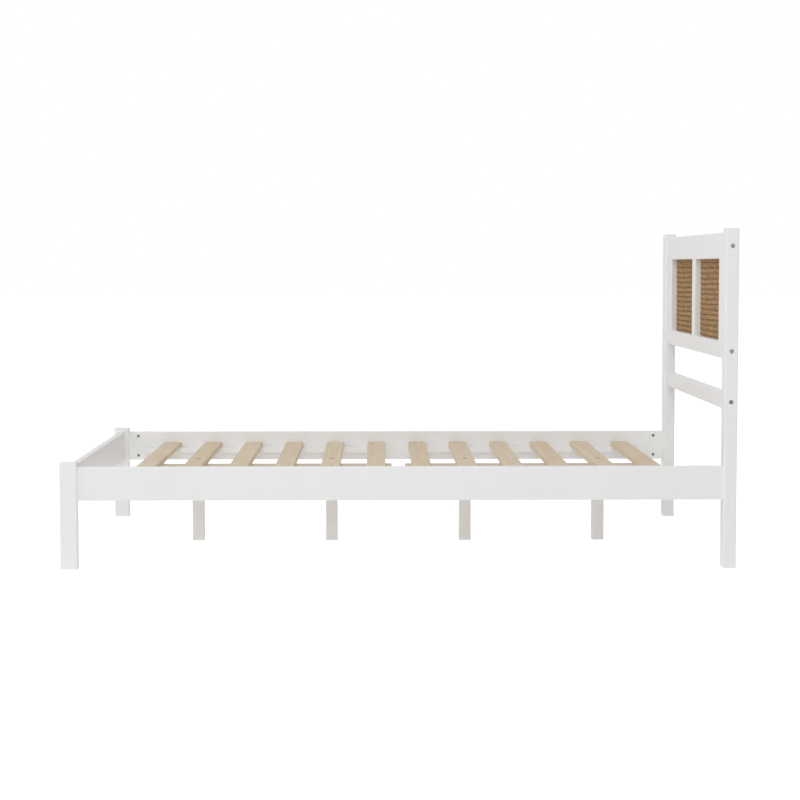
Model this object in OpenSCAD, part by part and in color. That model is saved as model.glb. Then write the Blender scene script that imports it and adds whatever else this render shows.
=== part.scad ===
// Slatted platform bed frame in painted timber. The post-and-rail headboard
// holds two panels of rope, each wound row by row round a thin steel frame.
//
// Origin: middle of the footprint, on the floor. +X runs to the head end,
// +Y to the far side and +Z up. "near" is the -Y side. Millimetres.

/* [Overall] */
// Length over the outside of the posts
bed_l = 2000; // [1700:5:2300]
// Width over the outside of the posts
bed_w = 1274; // [1000:2:1700]
// Rounding of the long edges of posts and rails
edge_r = 3; // [1:0.5:5]

/* [Head posts] */
// Size of a head post along the bed
head_post_x = 38; // [34:1:60]
// Size of a head post across the bed
head_post_y = 57; // [45:1:90]
// Height of a head post
head_post_h = 1006; // [960:2:1300]

/* [Foot posts] */
// Size of a foot post along the bed
foot_post_x = 51; // [44:1:80]
// Size of a foot post across the bed
foot_post_y = 38; // [34:1:60]
// Height of a foot post
foot_post_h = 317.5; // [310:0.5:420]

/* [Side and foot rails] */
// Underside of the rails above the floor
rail_z = 204; // [150:1:210]
// Height of the rails
rail_h = 100; // [90:1:104]
// Thickness of all rails and headboard boards
board_t = 22; // [20:1:28]
// Spacing of the two bolts at each end of a side rail
rail_bolt_gap = 68.5; // [60:0.5:76]
// Height of the tenon on the foot rail
tenon_h = 46; // [30:1:50]
// Thickness of the tenon on the foot rail
tenon_t = 10; // [6:1:14]
// Length of the tenon on the foot rail
tenon_l = 24; // [10:1:30]

/* [Headboard] */
// Head post top above the top rail
top_drop = 11.5; // [5:0.5:40]
// Height of the top rail
top_rail_h = 77.5; // [60:0.5:110]
// Height of the two rope openings
opening_h = 248; // [180:1:260]
// Height of the rail under the rope panels
panel_rail_h = 50; // [46:1:80]
// Open gap between the panel rail and the lower rail
headboard_gap = 100; // [60:1:120]
// Height of the lower rail
lower_rail_h = 50; // [46:1:80]
// Width of the outer stiles
stile_w = 108; // [90:1:150]
// Width of the middle upright
mullion_w = 64; // [50:1:100]
// Top bolt below the upper edge of the top rail
top_bolt_drop = 41; // [36:0.5:42]
// Offset of the rail-end dowels from the bolt in the top rail
top_dowel_off = 22; // [16:0.5:26]
// Offset of the rail-end dowels from the bolt in the 50 mm rails
low_dowel_off = 15; // [12:0.5:17]
// Offset of the dowels from the middle of a stile
stile_dowel_off = 30; // [20:1:32]
// Offset of the dowels from the middle of the mullion
mullion_dowel_off = 18; // [10:1:19]
// Rounding of the edges where headboard boards meet and round the openings
joint_r = 0.5; // [0.3:0.1:1.5]

/* [Rope panels] */
// Diameter of one cord
cord_d = 5.2; // [4:0.1:6]
// Cords that run side by side in one row
row_cords = 3; // [2:1:4]
// Least gap between two rows
row_gap = 0.45; // [0.45:0.05:3]
// Fall of a row on its way across the front
front_fall = 5; // [0:0.25:6]
// Gap between the rope and the sides of the opening
rope_side_gap = 0.6; // [0.5:0.1:4]
// Gap between the rope and the rails over and under it
rope_end_gap = 0.55; // [0.5:0.05:4]
// Thickness of the flat steel bars in the rope
bar_t = 2.5; // [2:0.5:3]
// Width of the flat steel bars
bar_w = 20; // [14:1:30]
// Lap of the steel frame on the back of the rails
bar_lap = 26; // [22:1:40]
// Reach of the end bars past the edge of the opening
bar_reach = 8; // [5:1:20]
// Length of the block that holds each rope end
anchor_l = 20; // [12:1:40]

/* [Slatted base] */
// Width of a slat
slat_w = 60; // [50:1:80]
// Thickness of a slat
slat_t = 18; // [15:1:22]
// Top of the slats below the top of the rails
slat_sink = 37; // [25:1:45]
// Bare length between a post and the nearest slat
slat_margin = 127; // [100:1:150]
// Gap between a slat end and the rail
slat_gap = 1; // [0.5:0.5:4]
// Width and height of a ledger
ledger_s = 20; // [18:1:28]
// Outer end of a ledger from the end of its rail
ledger_inset = 60; // [45:1:80]
// Inner end of a ledger back from the edge of its last slat
ledger_back = 4; // [0:1:15]
// Width of a centre beam
beam_w = 38; // [30:1:60]
// Height of a centre beam
beam_h = 57; // [40:1:90]
// Outer end of a beam back from the edge of its first slat
beam_back = 8; // [0:1:20]
// Reach of a beam past its last slat at mid length
beam_reach = 21; // [5:0.5:30]
// Side of a support leg
leg_s = 38; // [30:1:60]
// Rounding of slats and beams
slat_r = 2; // [0.5:0.5:4]

/* [Hardware] */
// Bolt diameter
bolt_d = 6; // [5:0.5:8]
// Bolt head diameter
bolt_head_d = 12; // [10:0.5:14]
// Bolt head height
bolt_head_h = 3.5; // [2.5:0.5:5]
// Depth of the counterbore that takes a bolt head
bolt_sink = 6; // [5.5:0.5:10]
// Barrel nut diameter
nut_d = 10; // [9:0.5:12]
// Barrel nut length
nut_l = 14; // [12:0.5:16]
// Barrel nut centre from the end of its rail
nut_inset = 34; // [28:0.5:45]
// Dowel diameter
dowel_d = 8; // [6:0.5:10]
// Depth of a dowel in each piece
dowel_in = 15; // [10:1:15]
// Leg bolt diameter
leg_bolt_d = 8; // [6:0.5:10]
// Leg bolt head diameter
leg_head_d = 16; // [13:0.5:20]
// Leg bolt head height
leg_head_h = 3; // [2:0.5:5]
// Depth of a leg bolt in its leg
leg_bolt_in = 35; // [25:1:45]
// Diameter of the threaded insert in a leg
insert_d = 13; // [11:0.5:16]
// Length of the threaded insert in a leg
insert_l = 20; // [15:1:24]
// Wood screw diameter
screw_d = 4; // [3:0.5:5]
// Wood screw head diameter
screw_head_d = 8; // [6.5:0.5:10]
// Depth of a slat or ledger screw past the piece that it holds
screw_in = 14; // [8:1:16]
// Ledger screws from the middle of the slat over them, towards the bed's end
ledger_screw_off = 18; // [12:1:22]
// Depth of a steel-frame screw in the rail
frame_screw_in = 17; // [10:1:18]
// Height of the pan head of a steel-frame screw
pan_h = 2.5; // [1.5:0.5:4]
// Clearance round bolts, nuts and screws, on the diameter
bore_play = 0.6; // [0.2:0.1:1]
// Clearance of dowels and tenons, on the size
joint_play = 0.2; // [0.1:0.05:0.4]
// Clearance at the blind end of a hole
end_play = 1; // [0.5:0.5:2]

/* [Hidden] */
$fn = 48;
NEAR = -1;
FAR = 1;
FOOT = -1;
HEAD = 1;

// Posts and rails
head_x = bed_l / 2 - head_post_x / 2;
foot_x = -bed_l / 2 + foot_post_x / 2;
head_y = bed_w / 2 - head_post_y / 2;
foot_y = bed_w / 2 - foot_post_y / 2;
head_face = bed_l / 2 - head_post_x;
foot_face = -bed_l / 2 + foot_post_x;
side_rail_l = head_face - foot_face;
side_rail_x = (head_face + foot_face) / 2;
foot_rail_l = bed_w - 2 * foot_post_y;
rail_mid_z = rail_z + rail_h / 2;
rail_bolt_z = [rail_mid_z - rail_bolt_gap / 2, rail_mid_z + rail_bolt_gap / 2];
inner_w = 2 * foot_y - board_t;

// Headboard
board_l = bed_w - 2 * head_post_y;
board_back = head_x + board_t / 2;
top_rail_z = head_post_h - top_drop - top_rail_h;
opening_z = top_rail_z - opening_h;
panel_rail_z = opening_z - panel_rail_h;
lower_rail_z = panel_rail_z - headboard_gap - lower_rail_h;
opening_w = (board_l - 2 * stile_w - mullion_w) / 2;
panel_y = (mullion_w + opening_w) / 2;
stile_y = board_l / 2 - stile_w / 2;
top_bolt_z = top_rail_z + top_rail_h - top_bolt_drop;
panel_bolt_z = panel_rail_z + panel_rail_h / 2;
lower_bolt_z = lower_rail_z + lower_rail_h / 2;
board_bolt_z = [lower_bolt_z, panel_bolt_z, top_bolt_z];
// Heights of the rail-end dowels: one under and one over every bolt
end_dowel_z = [
    lower_bolt_z - low_dowel_off, lower_bolt_z + low_dowel_off,
    panel_bolt_z - low_dowel_off, panel_bolt_z + low_dowel_off,
    top_bolt_z - top_dowel_off, top_bolt_z + top_dowel_off
];
stile_dowel_y = [
    for (s = [NEAR, FAR], d = [-1, 1]) s * stile_y + d * stile_dowel_off,
    for (d = [-1, 1]) d * mullion_dowel_off
];

// Slatted base: every slat has a node of its own, so their number is fixed
slat_n = 12;
slat_pitch = (side_rail_l - 2 * slat_margin - slat_w) / (slat_n - 1);
slat_z = rail_z + rail_h - slat_sink - slat_t;
slat_l = inner_w - 2 * slat_gap;
ledger_z = slat_z - ledger_s;
ledger_y = (inner_w - ledger_s) / 2;
beam_z = slat_z - beam_h;
half_n = slat_n / 2;
// Slats that carry a leg bolt: second and last but one of each half
leg_slats = [1, half_n - 2, half_n + 1, slat_n - 2];
function slat_x(i) = foot_face + slat_margin + slat_w / 2 + i * slat_pitch;
// First and last slat of the half at one end of the bed
function half_slats(e) = e == FOOT ? [0, half_n - 1] : [slat_n - 1, half_n];

// Rope: one flat rope of cords side by side, wound down round the side bars
rope_w = row_cords * cord_d;
rope_h = opening_h - 2 * rope_end_gap;
rope_n = floor((rope_h - front_fall + row_gap) / (rope_w + row_gap));
row_pitch = (rope_h - front_fall - rope_w) / (rope_n - 1);
back_fall = row_pitch - front_fall;
rope_x = board_back + bar_t / 2;
turn_r = (bar_t + cord_d) / 2;
turn_y = opening_w / 2 - rope_side_gap - cord_d / 2 - turn_r;
rope_z = opening_z + opening_h - rope_end_gap - rope_w / 2 + back_fall / 2;
rope_side = rope_w / 2 - cord_d / 2;
rope_section = [
    [0, rope_w / 2], [cord_d / 2, rope_side], [cord_d / 2, -rope_side],
    [0, -rope_w / 2], [-cord_d / 2, -rope_side], [-cord_d / 2, rope_side]
];
RUN = 3;
TURN = 6;
RINGS = 24;
// The rope clears the round edge of its bar by this much at the turns
turn_play = 0.3;
bar_edge = turn_y - turn_play + bar_t / 2;
bar_y = bar_edge - bar_w / 2;
frame_bar_z = [opening_z - bar_lap, opening_z + opening_h - bar_reach];
frame_bar_h = bar_lap + bar_reach;
frame_screw_z = [opening_z - bar_lap * 0.7, opening_z + opening_h + bar_lap * 0.7];

// Bolts and screws
head_bolt_l = head_post_y - bolt_sink + nut_inset + nut_d * 0.6;
foot_rail_bolt_l = foot_post_x - bolt_sink + nut_inset + nut_d * 0.6;
head_rail_bolt_l = head_post_x - bolt_sink + nut_inset + nut_d * 0.6;
leg_seat_z = slat_z + slat_t - leg_head_h;
leg_bolt_l = leg_seat_z - beam_z + leg_bolt_in;

PAINT = "whitesmoke";
PINE = "burlywood";
ROPE = "peru";
STEEL = "silver";
BLACK = "dimgray";

// ---- Shared shapes -------------------------------------------------------

// Rectangle a by b about the origin, its lower and upper corners round
module edge_rect(a, b, low_r, high_r) {
    translate([-a / 2, -b / 2 + low_r])
        square([a, b - low_r - high_r]);
    translate([-a / 2 + low_r, -b / 2])
        square([a - 2 * low_r, b / 2]);
    translate([-a / 2 + high_r, 0])
        square([a - 2 * high_r, b / 2]);
    for (i = [-1, 1]) {
        translate([i * (a / 2 - low_r), -b / 2 + low_r])
            circle(r = low_r);
        translate([i * (a / 2 - high_r), b / 2 - high_r])
            circle(r = high_r);
    }
}

// Rectangle a by b about the origin, with all its corners round
module round_rect(a, b, r) {
    edge_rect(a, b, r, r);
}

// Board along X, centred on x and y, with its underside at z = 0
module board_x(l, t, h, r) {
    translate([0, 0, h / 2])
        rotate([90, 0, 90])
            linear_extrude(height = l, center = true)
                round_rect(t, h, r);
}

// Board along Y, centred on x and y, with its underside at z = 0
module board_y(l, t, h, low_r, high_r) {
    translate([0, 0, h / 2])
        rotate([90, 0, 0])
            linear_extrude(height = l, center = true)
                edge_rect(t, h, low_r, high_r);
}

// Side view of a post, w wide: square at the floor and round at the top
module post_outline(w, h, r) {
    translate([-w / 2, 0])
        square([w, h - r]);
    translate([-w / 2 + r, 0])
        square([w - 2 * r, h]);
    for (i = [-1, 1])
        translate([i * (w / 2 - r), h - r])
            circle(r = r);
}

// Post a by b on the floor, rounded along its edges and over its top
module post(a, b, h) {
    intersection() {
        linear_extrude(height = h)
            round_rect(a, b, edge_r);
        rotate([90, 0, 0])
            linear_extrude(height = b, center = true)
                post_outline(a, h, edge_r);
        rotate([90, 0, 90])
            linear_extrude(height = a, center = true)
                post_outline(b, h, edge_r);
    }
}

// Bolt along +Z with a hexagon socket: the head seats at z = 0
module bolt(d, l, head_d, head_h) {
    difference() {
        translate([0, 0, -head_h])
            cylinder(d = head_d, h = head_h);
        translate([0, 0, -head_h - 1])
            cylinder(d = d * 0.8, h = head_h * 0.6 + 1, $fn = 6);
    }
    cylinder(d = d, h = l);
}

// Hole for a bolt along +Z, with a counterbore that opens at z = -sink
module bolt_hole(d, l, head_d, sink) {
    cylinder(d = d + bore_play, h = l + end_play);
    translate([0, 0, -sink - 1])
        cylinder(d = head_d + 2 * bore_play, h = sink + 1);
}

// Barrel nut along Z, centred, with a cross hole along X and a slot on top
module barrel_nut() {
    difference() {
        cylinder(d = nut_d, h = nut_l, center = true);
        rotate([0, 90, 0])
            cylinder(d = bolt_d + bore_play, h = nut_d + 2, center = true);
        translate([-nut_d, -0.75, nut_l / 2 - 1.5])
            cube([2 * nut_d, 1.5, 2]);
    }
}

// Hole for a barrel nut along Z: it opens on the face at z = board_t / 2
module nut_hole() {
    translate([0, 0, -nut_l / 2 - end_play / 2])
        cylinder(d = nut_d + bore_play, h = board_t);
}

// Countersunk wood screw along -Z: the top of its head is at z = 0
module screw(l) {
    head_h = (screw_head_d - screw_d) / 2;
    translate([0, 0, -head_h])
        cylinder(d1 = screw_d, d2 = screw_head_d, h = head_h);
    translate([0, 0, -l + screw_d])
        cylinder(d = screw_d, h = l - screw_d - head_h);
    translate([0, 0, -l])
        cylinder(d1 = screw_d * 0.2, d2 = screw_d, h = screw_d);
}

// Hole for a countersunk screw along -Z
module screw_hole(l) {
    head_h = (screw_head_d - screw_d) / 2;
    translate([0, 0, -head_h])
        cylinder(d1 = screw_d + bore_play, d2 = screw_head_d + bore_play, h = head_h);
    translate([0, 0, -0.01])
        cylinder(d = screw_head_d + bore_play, h = 1);
    translate([0, 0, -l - end_play])
        cylinder(d = screw_d + bore_play, h = l + end_play);
}

// Dowel along Z, centred, with tapered ends
module dowel() {
    tip = 1;
    cylinder(d = dowel_d, h = 2 * (dowel_in - tip), center = true);
    for (e = [0, 180])
        rotate([e, 0, 0])
            translate([0, 0, dowel_in - tip])
                cylinder(d1 = dowel_d, d2 = dowel_d - 2 * tip, h = tip);
}

// Hole for a dowel along Z, centred
module dowel_hole() {
    cylinder(d = dowel_d + joint_play, h = 2 * (dowel_in + end_play), center = true);
}

// ---- Places of the fasteners ---------------------------------------------

// Headboard bolts of one side: +Z of the child points into the rail
module at_headboard_bolts(side) {
    for (z = board_bolt_z)
        translate([head_x, side * (bed_w / 2 - bolt_sink), z])
            rotate([side * 90, 0, 0])
                children();
}

// Headboard barrel nuts of one side: +Z of the child points to the back
module at_headboard_nuts(side) {
    for (z = board_bolt_z)
        translate([head_x, side * (board_l / 2 - nut_inset), z])
            rotate([0, 90, 0])
                rotate([0, 0, 90])
                    children();
}

// Side-rail bolts at one end: +Z of the child points into the rail
module at_rail_bolts(end, side) {
    for (z = rail_bolt_z)
        translate([end * (bed_l / 2 - bolt_sink), side * foot_y, z])
            rotate([0, -end * 90, 0])
                children();
}

// Side-rail barrel nuts at one end: +Z of the child points into the bed
module at_rail_nuts(end, side) {
    face = end == HEAD ? head_face : foot_face;
    for (z = rail_bolt_z)
        translate([face - end * nut_inset, side * foot_y, z])
            rotate([side * 90, 0, 0])
                children();
}

// Dowels between the side rails and the posts, along X
module at_rail_dowels(end, side) {
    face = end == HEAD ? head_face : foot_face;
    translate([face, side * foot_y, rail_mid_z])
        rotate([0, 90, 0])
            children();
}

// Dowels between the headboard rails and the head posts, along Y
module at_end_dowels(side) {
    for (z = end_dowel_z)
        translate([head_x, side * board_l / 2, z])
            rotate([90, 0, 0])
                children();
}

// Dowels at the joints of the stiles and mullion with a rail, along Z
module at_stile_dowels() {
    for (y = stile_dowel_y, z = [opening_z, opening_z + opening_h])
        translate([head_x, y, z])
            children();
}

// Screws that hold the steel frame of one rope panel to the rails
module at_frame_screws(side) {
    for (v = [-1, 0, 1], z = frame_screw_z)
        translate([board_back + bar_t, side * panel_y + v * bar_y, z])
            rotate([0, 90, 0])
                children();
}

// Screws through both ends of every slat into the ledgers
module at_slat_screws() {
    for (i = [0:slat_n - 1], s = [NEAR, FAR])
        translate([slat_x(i), s * ledger_y, slat_z + slat_t])
            children();
}

// Screws through the ledgers into the side rails, one under each slat
module at_ledger_screws(side) {
    for (i = [0:slat_n - 1]) {
        end = i < half_n ? FOOT : HEAD;
        translate([slat_x(i) + end * ledger_screw_off, side * (ledger_y - ledger_s / 2),
                   ledger_z + ledger_s / 2])
            rotate([side * 90, 0, 0])
                children();
    }
}

// Bolts through slat and centre beam into the legs, along -Z
module at_leg_bolts() {
    for (i = leg_slats)
        translate([slat_x(i), 0, leg_seat_z])
            rotate([180, 0, 0])
                children();
}

// ---- Posts and rails -----------------------------------------------------

module head_post(side) {
    color(PAINT)
        difference() {
            translate([head_x, side * head_y, 0])
                post(head_post_x, head_post_y, head_post_h);
            at_headboard_bolts(side)
                bolt_hole(bolt_d, head_bolt_l, bolt_head_d, bolt_sink);
            at_rail_bolts(HEAD, side)
                bolt_hole(bolt_d, head_rail_bolt_l, bolt_head_d, bolt_sink);
            at_end_dowels(side)
                dowel_hole();
            at_rail_dowels(HEAD, side)
                dowel_hole();
        }
}

module foot_post(side) {
    color(PAINT)
        difference() {
            translate([foot_x, side * foot_y, 0])
                post(foot_post_x, foot_post_y, foot_post_h);
            at_rail_bolts(FOOT, side)
                bolt_hole(bolt_d, foot_rail_bolt_l, bolt_head_d, bolt_sink);
            at_rail_dowels(FOOT, side)
                dowel_hole();
            foot_rail_tenons(joint_play, end_play);
        }
}

module side_rail(side) {
    color(PAINT)
        difference() {
            translate([side_rail_x, side * foot_y, rail_z])
                board_x(side_rail_l, board_t, rail_h, edge_r);
            at_rail_bolts(FOOT, side)
                bolt_hole(bolt_d, foot_rail_bolt_l, bolt_head_d, bolt_sink);
            at_rail_bolts(HEAD, side)
                bolt_hole(bolt_d, head_rail_bolt_l, bolt_head_d, bolt_sink);
            for (e = [FOOT, HEAD]) {
                at_rail_nuts(e, side)
                    nut_hole();
                at_rail_dowels(e, side)
                    dowel_hole();
            }
            at_ledger_screws(side)
                screw_hole(ledger_s + screw_in);
        }
}

// Tenons at both ends of the foot rail, or their mortises with some play
module foot_rail_tenons(play, deeper) {
    translate([foot_x, 0, rail_mid_z])
        cube([tenon_t + play, foot_rail_l + 2 * (tenon_l + deeper), tenon_h + play],
             center = true);
}

module foot_rail() {
    color(PAINT) {
        translate([foot_x, 0, rail_z])
            board_y(foot_rail_l, board_t, rail_h, edge_r, edge_r);
        foot_rail_tenons(0, 0);
    }
}

// ---- Headboard -----------------------------------------------------------

// One headboard rail, with every hole that its bolts and dowels need
module headboard_rail(z, h, low_r, high_r) {
    color(PAINT)
        difference() {
            translate([head_x, 0, z])
                board_y(board_l, board_t, h, low_r, high_r);
            for (s = [NEAR, FAR]) {
                at_headboard_bolts(s)
                    bolt_hole(bolt_d, head_bolt_l, bolt_head_d, bolt_sink);
                at_headboard_nuts(s)
                    nut_hole();
                at_end_dowels(s)
                    dowel_hole();
                at_frame_screws(s)
                    screw_hole(bar_t + frame_screw_in);
            }
            at_stile_dowels()
                dowel_hole();
        }
}

module top_rail() {
    headboard_rail(top_rail_z, top_rail_h, joint_r, edge_r);
}

module panel_rail() {
    headboard_rail(panel_rail_z, panel_rail_h, edge_r, joint_r);
}

module lower_rail() {
    headboard_rail(lower_rail_z, lower_rail_h, edge_r, edge_r);
}

// Upright board of the headboard, w wide, between the top and panel rails
module upright(y, w) {
    color(PAINT)
        difference() {
            translate([head_x, y, opening_z])
                linear_extrude(height = opening_h)
                    round_rect(board_t, w, joint_r);
            at_stile_dowels()
                dowel_hole();
        }
}

// ---- Rope panels ---------------------------------------------------------

// Flat steel bar on edge between two heights, with round outer edges
module upright_bar(y, z0, z1) {
    translate([rope_x, y, z0])
        linear_extrude(height = z1 - z0) {
            square([bar_t, bar_w - bar_t], center = true);
            for (s = [-1, 1])
                translate([0, s * (bar_w - bar_t) / 2])
                    circle(d = bar_t);
        }
}

// Welded frame that the rope is wound on. Its ends lap the rails at the
// back, and a block on the middle bar holds each end of the rope.
module rope_frame(side) {
    z0 = frame_bar_z[0];
    z1 = frame_bar_z[1] + frame_bar_h;
    color(BLACK)
        difference() {
            translate([0, side * panel_y, 0]) {
                for (y = [-bar_y, 0, bar_y])
                    upright_bar(y, z0, z1);
                for (z = frame_bar_z)
                    translate([board_back, -bar_y, z])
                        cube([bar_t, 2 * bar_y, frame_bar_h]);
                for (z = [rope_z, rope_z - rope_n * row_pitch])
                    translate([board_back + bar_t / 2, -anchor_l / 2, z - rope_w / 2])
                        cube([bar_t / 2 + cord_d, anchor_l, rope_w]);
            }
            at_frame_screws(side)
                cylinder(d = screw_d + bore_play, h = 4 * bar_t, center = true);
        }
}

// Ring i of one turn of rope: [x, y, normal x, normal y, fall]. A turn starts
// at the middle of the back, goes round the near bar, crosses the front,
// goes round the far bar and comes back to the middle.
function ring(i) =
    i < RUN ? let (f = i / RUN)
        [turn_r, -turn_y * f, 1, 0, back_fall / 2 * f]
    : i <= RUN + TURN ? let (a = 180 * (i - RUN) / TURN)
        [turn_r * cos(a), -turn_y - turn_r * sin(a), cos(a), -sin(a), back_fall / 2]
    : i < 3 * RUN + TURN ? let (f = (i - RUN - TURN) / (2 * RUN))
        [-turn_r, turn_y * (2 * f - 1), -1, 0, back_fall / 2 + front_fall * f]
    : i <= 3 * RUN + 2 * TURN ? let (a = 180 * (i - 3 * RUN - TURN) / TURN)
        [-turn_r * cos(a), turn_y + turn_r * sin(a), -cos(a), sin(a),
         back_fall / 2 + front_fall]
    : let (f = (i - 3 * RUN - 2 * TURN) / RUN)
        [turn_r, turn_y * (1 - f), 1, 0, back_fall / 2 * (1 + f) + front_fall];

// Corners of the rope's section at a ring of turn k
function ring_points(r, k) = [
    for (p = rope_section)
        [r[0] + r[2] * p[0], r[1] + r[3] * p[0], p[1] - r[4] - k * row_pitch]
];

// All the rings of a rope, with both ends square against their blocks
rope_rings = [
    for (k = [0:rope_n - 1], i = [0:RINGS - 1])
        if (k > 0 || i > 0) ring_points(ring(i), k)
];
rope_start = ring_points(
    [turn_r, -anchor_l / 2, 1, 0, back_fall * anchor_l / (4 * turn_y)], 0);
rope_stop = ring_points(
    [turn_r, anchor_l / 2, 1, 0, row_pitch - back_fall * anchor_l / (4 * turn_y)],
    rope_n - 1);
all_rings = concat([rope_start], rope_rings, [rope_stop]);

// Least distance between the corners of two neighbouring turns
rope_gap = min([
    for (i = [0:RINGS - 1], j = [0:RINGS - 1],
         a = ring_points(ring(i), 0), b = ring_points(ring(j), 1))
        norm(a - b)
]);
echo(rope_least_gap = rope_gap, turns = rope_n, pitch = row_pitch);

// One unbroken rope from block to block, swept along its rings
module rope(side) {
    n = len(rope_section);
    last = len(all_rings) - 1;
    color(ROPE)
        translate([rope_x, side * panel_y, rope_z])
            polyhedron(
                points = [for (r = all_rings, p = r) p],
                faces = concat(
                    [for (j = [1:n - 2]) [0, j + 1, j]],
                    [for (i = [0:last - 1], j = [0:n - 1])
                        [i * n + j, i * n + (j + 1) % n, (i + 1) * n + j]],
                    [for (i = [0:last - 1], j = [0:n - 1])
                        [(i + 1) * n + j, i * n + (j + 1) % n, (i + 1) * n + (j + 1) % n]],
                    [for (j = [1:n - 2]) [last * n, last * n + j, last * n + j + 1]]
                ),
                convexity = 10
            );
}

// ---- Slatted base --------------------------------------------------------

// Ledger on one side rail, under the slats of one half of the bed
module ledger(side, end) {
    slats = half_slats(end);
    outer = (end == HEAD ? head_face : foot_face) - end * ledger_inset;
    inner = slat_x(slats[1]) - end * (slat_w / 2 - ledger_back);
    color(PAINT)
        difference() {
            translate([(outer + inner) / 2, side * ledger_y, ledger_z])
                board_x(abs(outer - inner), ledger_s, ledger_s, slat_r);
            at_ledger_screws(side)
                screw_hole(ledger_s + screw_in);
            at_slat_screws()
                screw_hole(slat_t + screw_in);
        }
}

// Centre beam under the slats of one half of the bed
module centre_beam(end) {
    slats = half_slats(end);
    outer = slat_x(slats[0]) + end * (slat_w / 2 - beam_back);
    inner = slat_x(slats[1]) - end * (slat_w / 2 + beam_reach);
    color(PINE)
        difference() {
            translate([(outer + inner) / 2, 0, beam_z])
                board_x(abs(outer - inner), beam_w, beam_h, slat_r);
            at_leg_bolts()
                bolt_hole(leg_bolt_d, leg_bolt_l, leg_head_d, leg_head_h);
        }
}

// Support leg under a leg bolt, with a threaded insert in its top
module support_leg(i) {
    color(PAINT)
        difference() {
            translate([slat_x(leg_slats[i]), 0, 0])
                linear_extrude(height = beam_z)
                    round_rect(leg_s, leg_s, edge_r);
            at_leg_bolts()
                bolt_hole(leg_bolt_d, leg_bolt_l, leg_head_d, leg_head_h);
            at_leg_inserts()
                cylinder(d = insert_d, h = insert_l + 1);
        }
}

// Seat of each threaded insert, +Z up
module at_leg_inserts() {
    for (i = leg_slats)
        translate([slat_x(i), 0, beam_z - insert_l])
            children();
}

module slat(i) {
    color(PINE)
        difference() {
            translate([slat_x(i), 0, slat_z])
                board_y(slat_l, slat_w, slat_t, slat_r, slat_r);
            at_slat_screws()
                screw_hole(slat_t + screw_in);
            at_leg_bolts()
                bolt_hole(leg_bolt_d, leg_bolt_l, leg_head_d, leg_head_h);
        }
}

// ---- Hardware ------------------------------------------------------------

module headboard_bolts() {
    color(STEEL)
        for (s = [NEAR, FAR])
            at_headboard_bolts(s)
                bolt(bolt_d, head_bolt_l, bolt_head_d, bolt_head_h);
}

module headboard_nuts() {
    color(STEEL)
        for (s = [NEAR, FAR])
            at_headboard_nuts(s)
                barrel_nut();
}

module rail_bolts() {
    color(STEEL)
        for (s = [NEAR, FAR]) {
            at_rail_bolts(FOOT, s)
                bolt(bolt_d, foot_rail_bolt_l, bolt_head_d, bolt_head_h);
            at_rail_bolts(HEAD, s)
                bolt(bolt_d, head_rail_bolt_l, bolt_head_d, bolt_head_h);
        }
}

module rail_nuts() {
    color(STEEL)
        for (s = [NEAR, FAR], e = [FOOT, HEAD])
            at_rail_nuts(e, s)
                barrel_nut();
}

module leg_bolts() {
    color(BLACK)
        at_leg_bolts()
            bolt(leg_bolt_d, leg_bolt_l, leg_head_d, leg_head_h);
}

module leg_inserts() {
    color(STEEL)
        at_leg_inserts()
            difference() {
                cylinder(d = insert_d, h = insert_l);
                translate([0, 0, -1])
                    cylinder(d = leg_bolt_d + bore_play, h = insert_l + 2);
            }
}

module slat_screws() {
    color(STEEL)
        at_slat_screws()
            screw(slat_t + screw_in);
}

module ledger_screws() {
    color(PAINT)
        for (s = [NEAR, FAR])
            at_ledger_screws(s)
                screw(ledger_s + screw_in);
}

// Pan-head screws that hold the steel frames to the rails
module frame_screws() {
    color(BLACK)
        for (s = [NEAR, FAR])
            at_frame_screws(s) {
                cylinder(d = screw_head_d, h = pan_h);
                translate([0, 0, -bar_t - frame_screw_in])
                    cylinder(d = screw_d, h = bar_t + frame_screw_in);
            }
}

module frame_dowels() {
    color(PINE)
        at_stile_dowels()
            dowel();
}

module rail_end_dowels() {
    color(PINE)
        for (s = [NEAR, FAR])
            at_end_dowels(s)
                dowel();
}

module side_rail_dowels() {
    color(PINE)
        for (s = [NEAR, FAR], e = [FOOT, HEAD])
            at_rail_dowels(e, s)
                dowel();
}

// ---- Nodes ---------------------------------------------------------------

head_post(NEAR);  // head_post_near
head_post(FAR);  // head_post_far
foot_post(NEAR);  // foot_post_near
foot_post(FAR);  // foot_post_far
side_rail(NEAR);  // side_rail_near
side_rail(FAR);  // side_rail_far
foot_rail();
top_rail();
panel_rail();
lower_rail();
upright(-stile_y, stile_w);  // stile_near
upright(stile_y, stile_w);  // stile_far
upright(0, mullion_w);  // mullion
rope_frame(NEAR);  // rope_frame_near
rope_frame(FAR);  // rope_frame_far
rope(NEAR);  // rope_near
rope(FAR);  // rope_far
ledger(NEAR, FOOT);  // ledger_near_foot
ledger(NEAR, HEAD);  // ledger_near_head
ledger(FAR, FOOT);  // ledger_far_foot
ledger(FAR, HEAD);  // ledger_far_head
centre_beam(FOOT);  // centre_beam_foot
centre_beam(HEAD);  // centre_beam_head
support_leg(0);  // support_leg_1
support_leg(1);  // support_leg_2
support_leg(2);  // support_leg_3
support_leg(3);  // support_leg_4
slat(0);  // slat_01
slat(1);  // slat_02
slat(2);  // slat_03
slat(3);  // slat_04
slat(4);  // slat_05
slat(5);  // slat_06
slat(6);  // slat_07
slat(7);  // slat_08
slat(8);  // slat_09
slat(9);  // slat_10
slat(10);  // slat_11
slat(11);  // slat_12
headboard_bolts();
headboard_nuts();
rail_bolts();
rail_nuts();
leg_bolts();
leg_inserts();
slat_screws();
ledger_screws();
frame_screws();
frame_dowels();
rail_end_dowels();
side_rail_dowels();
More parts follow.
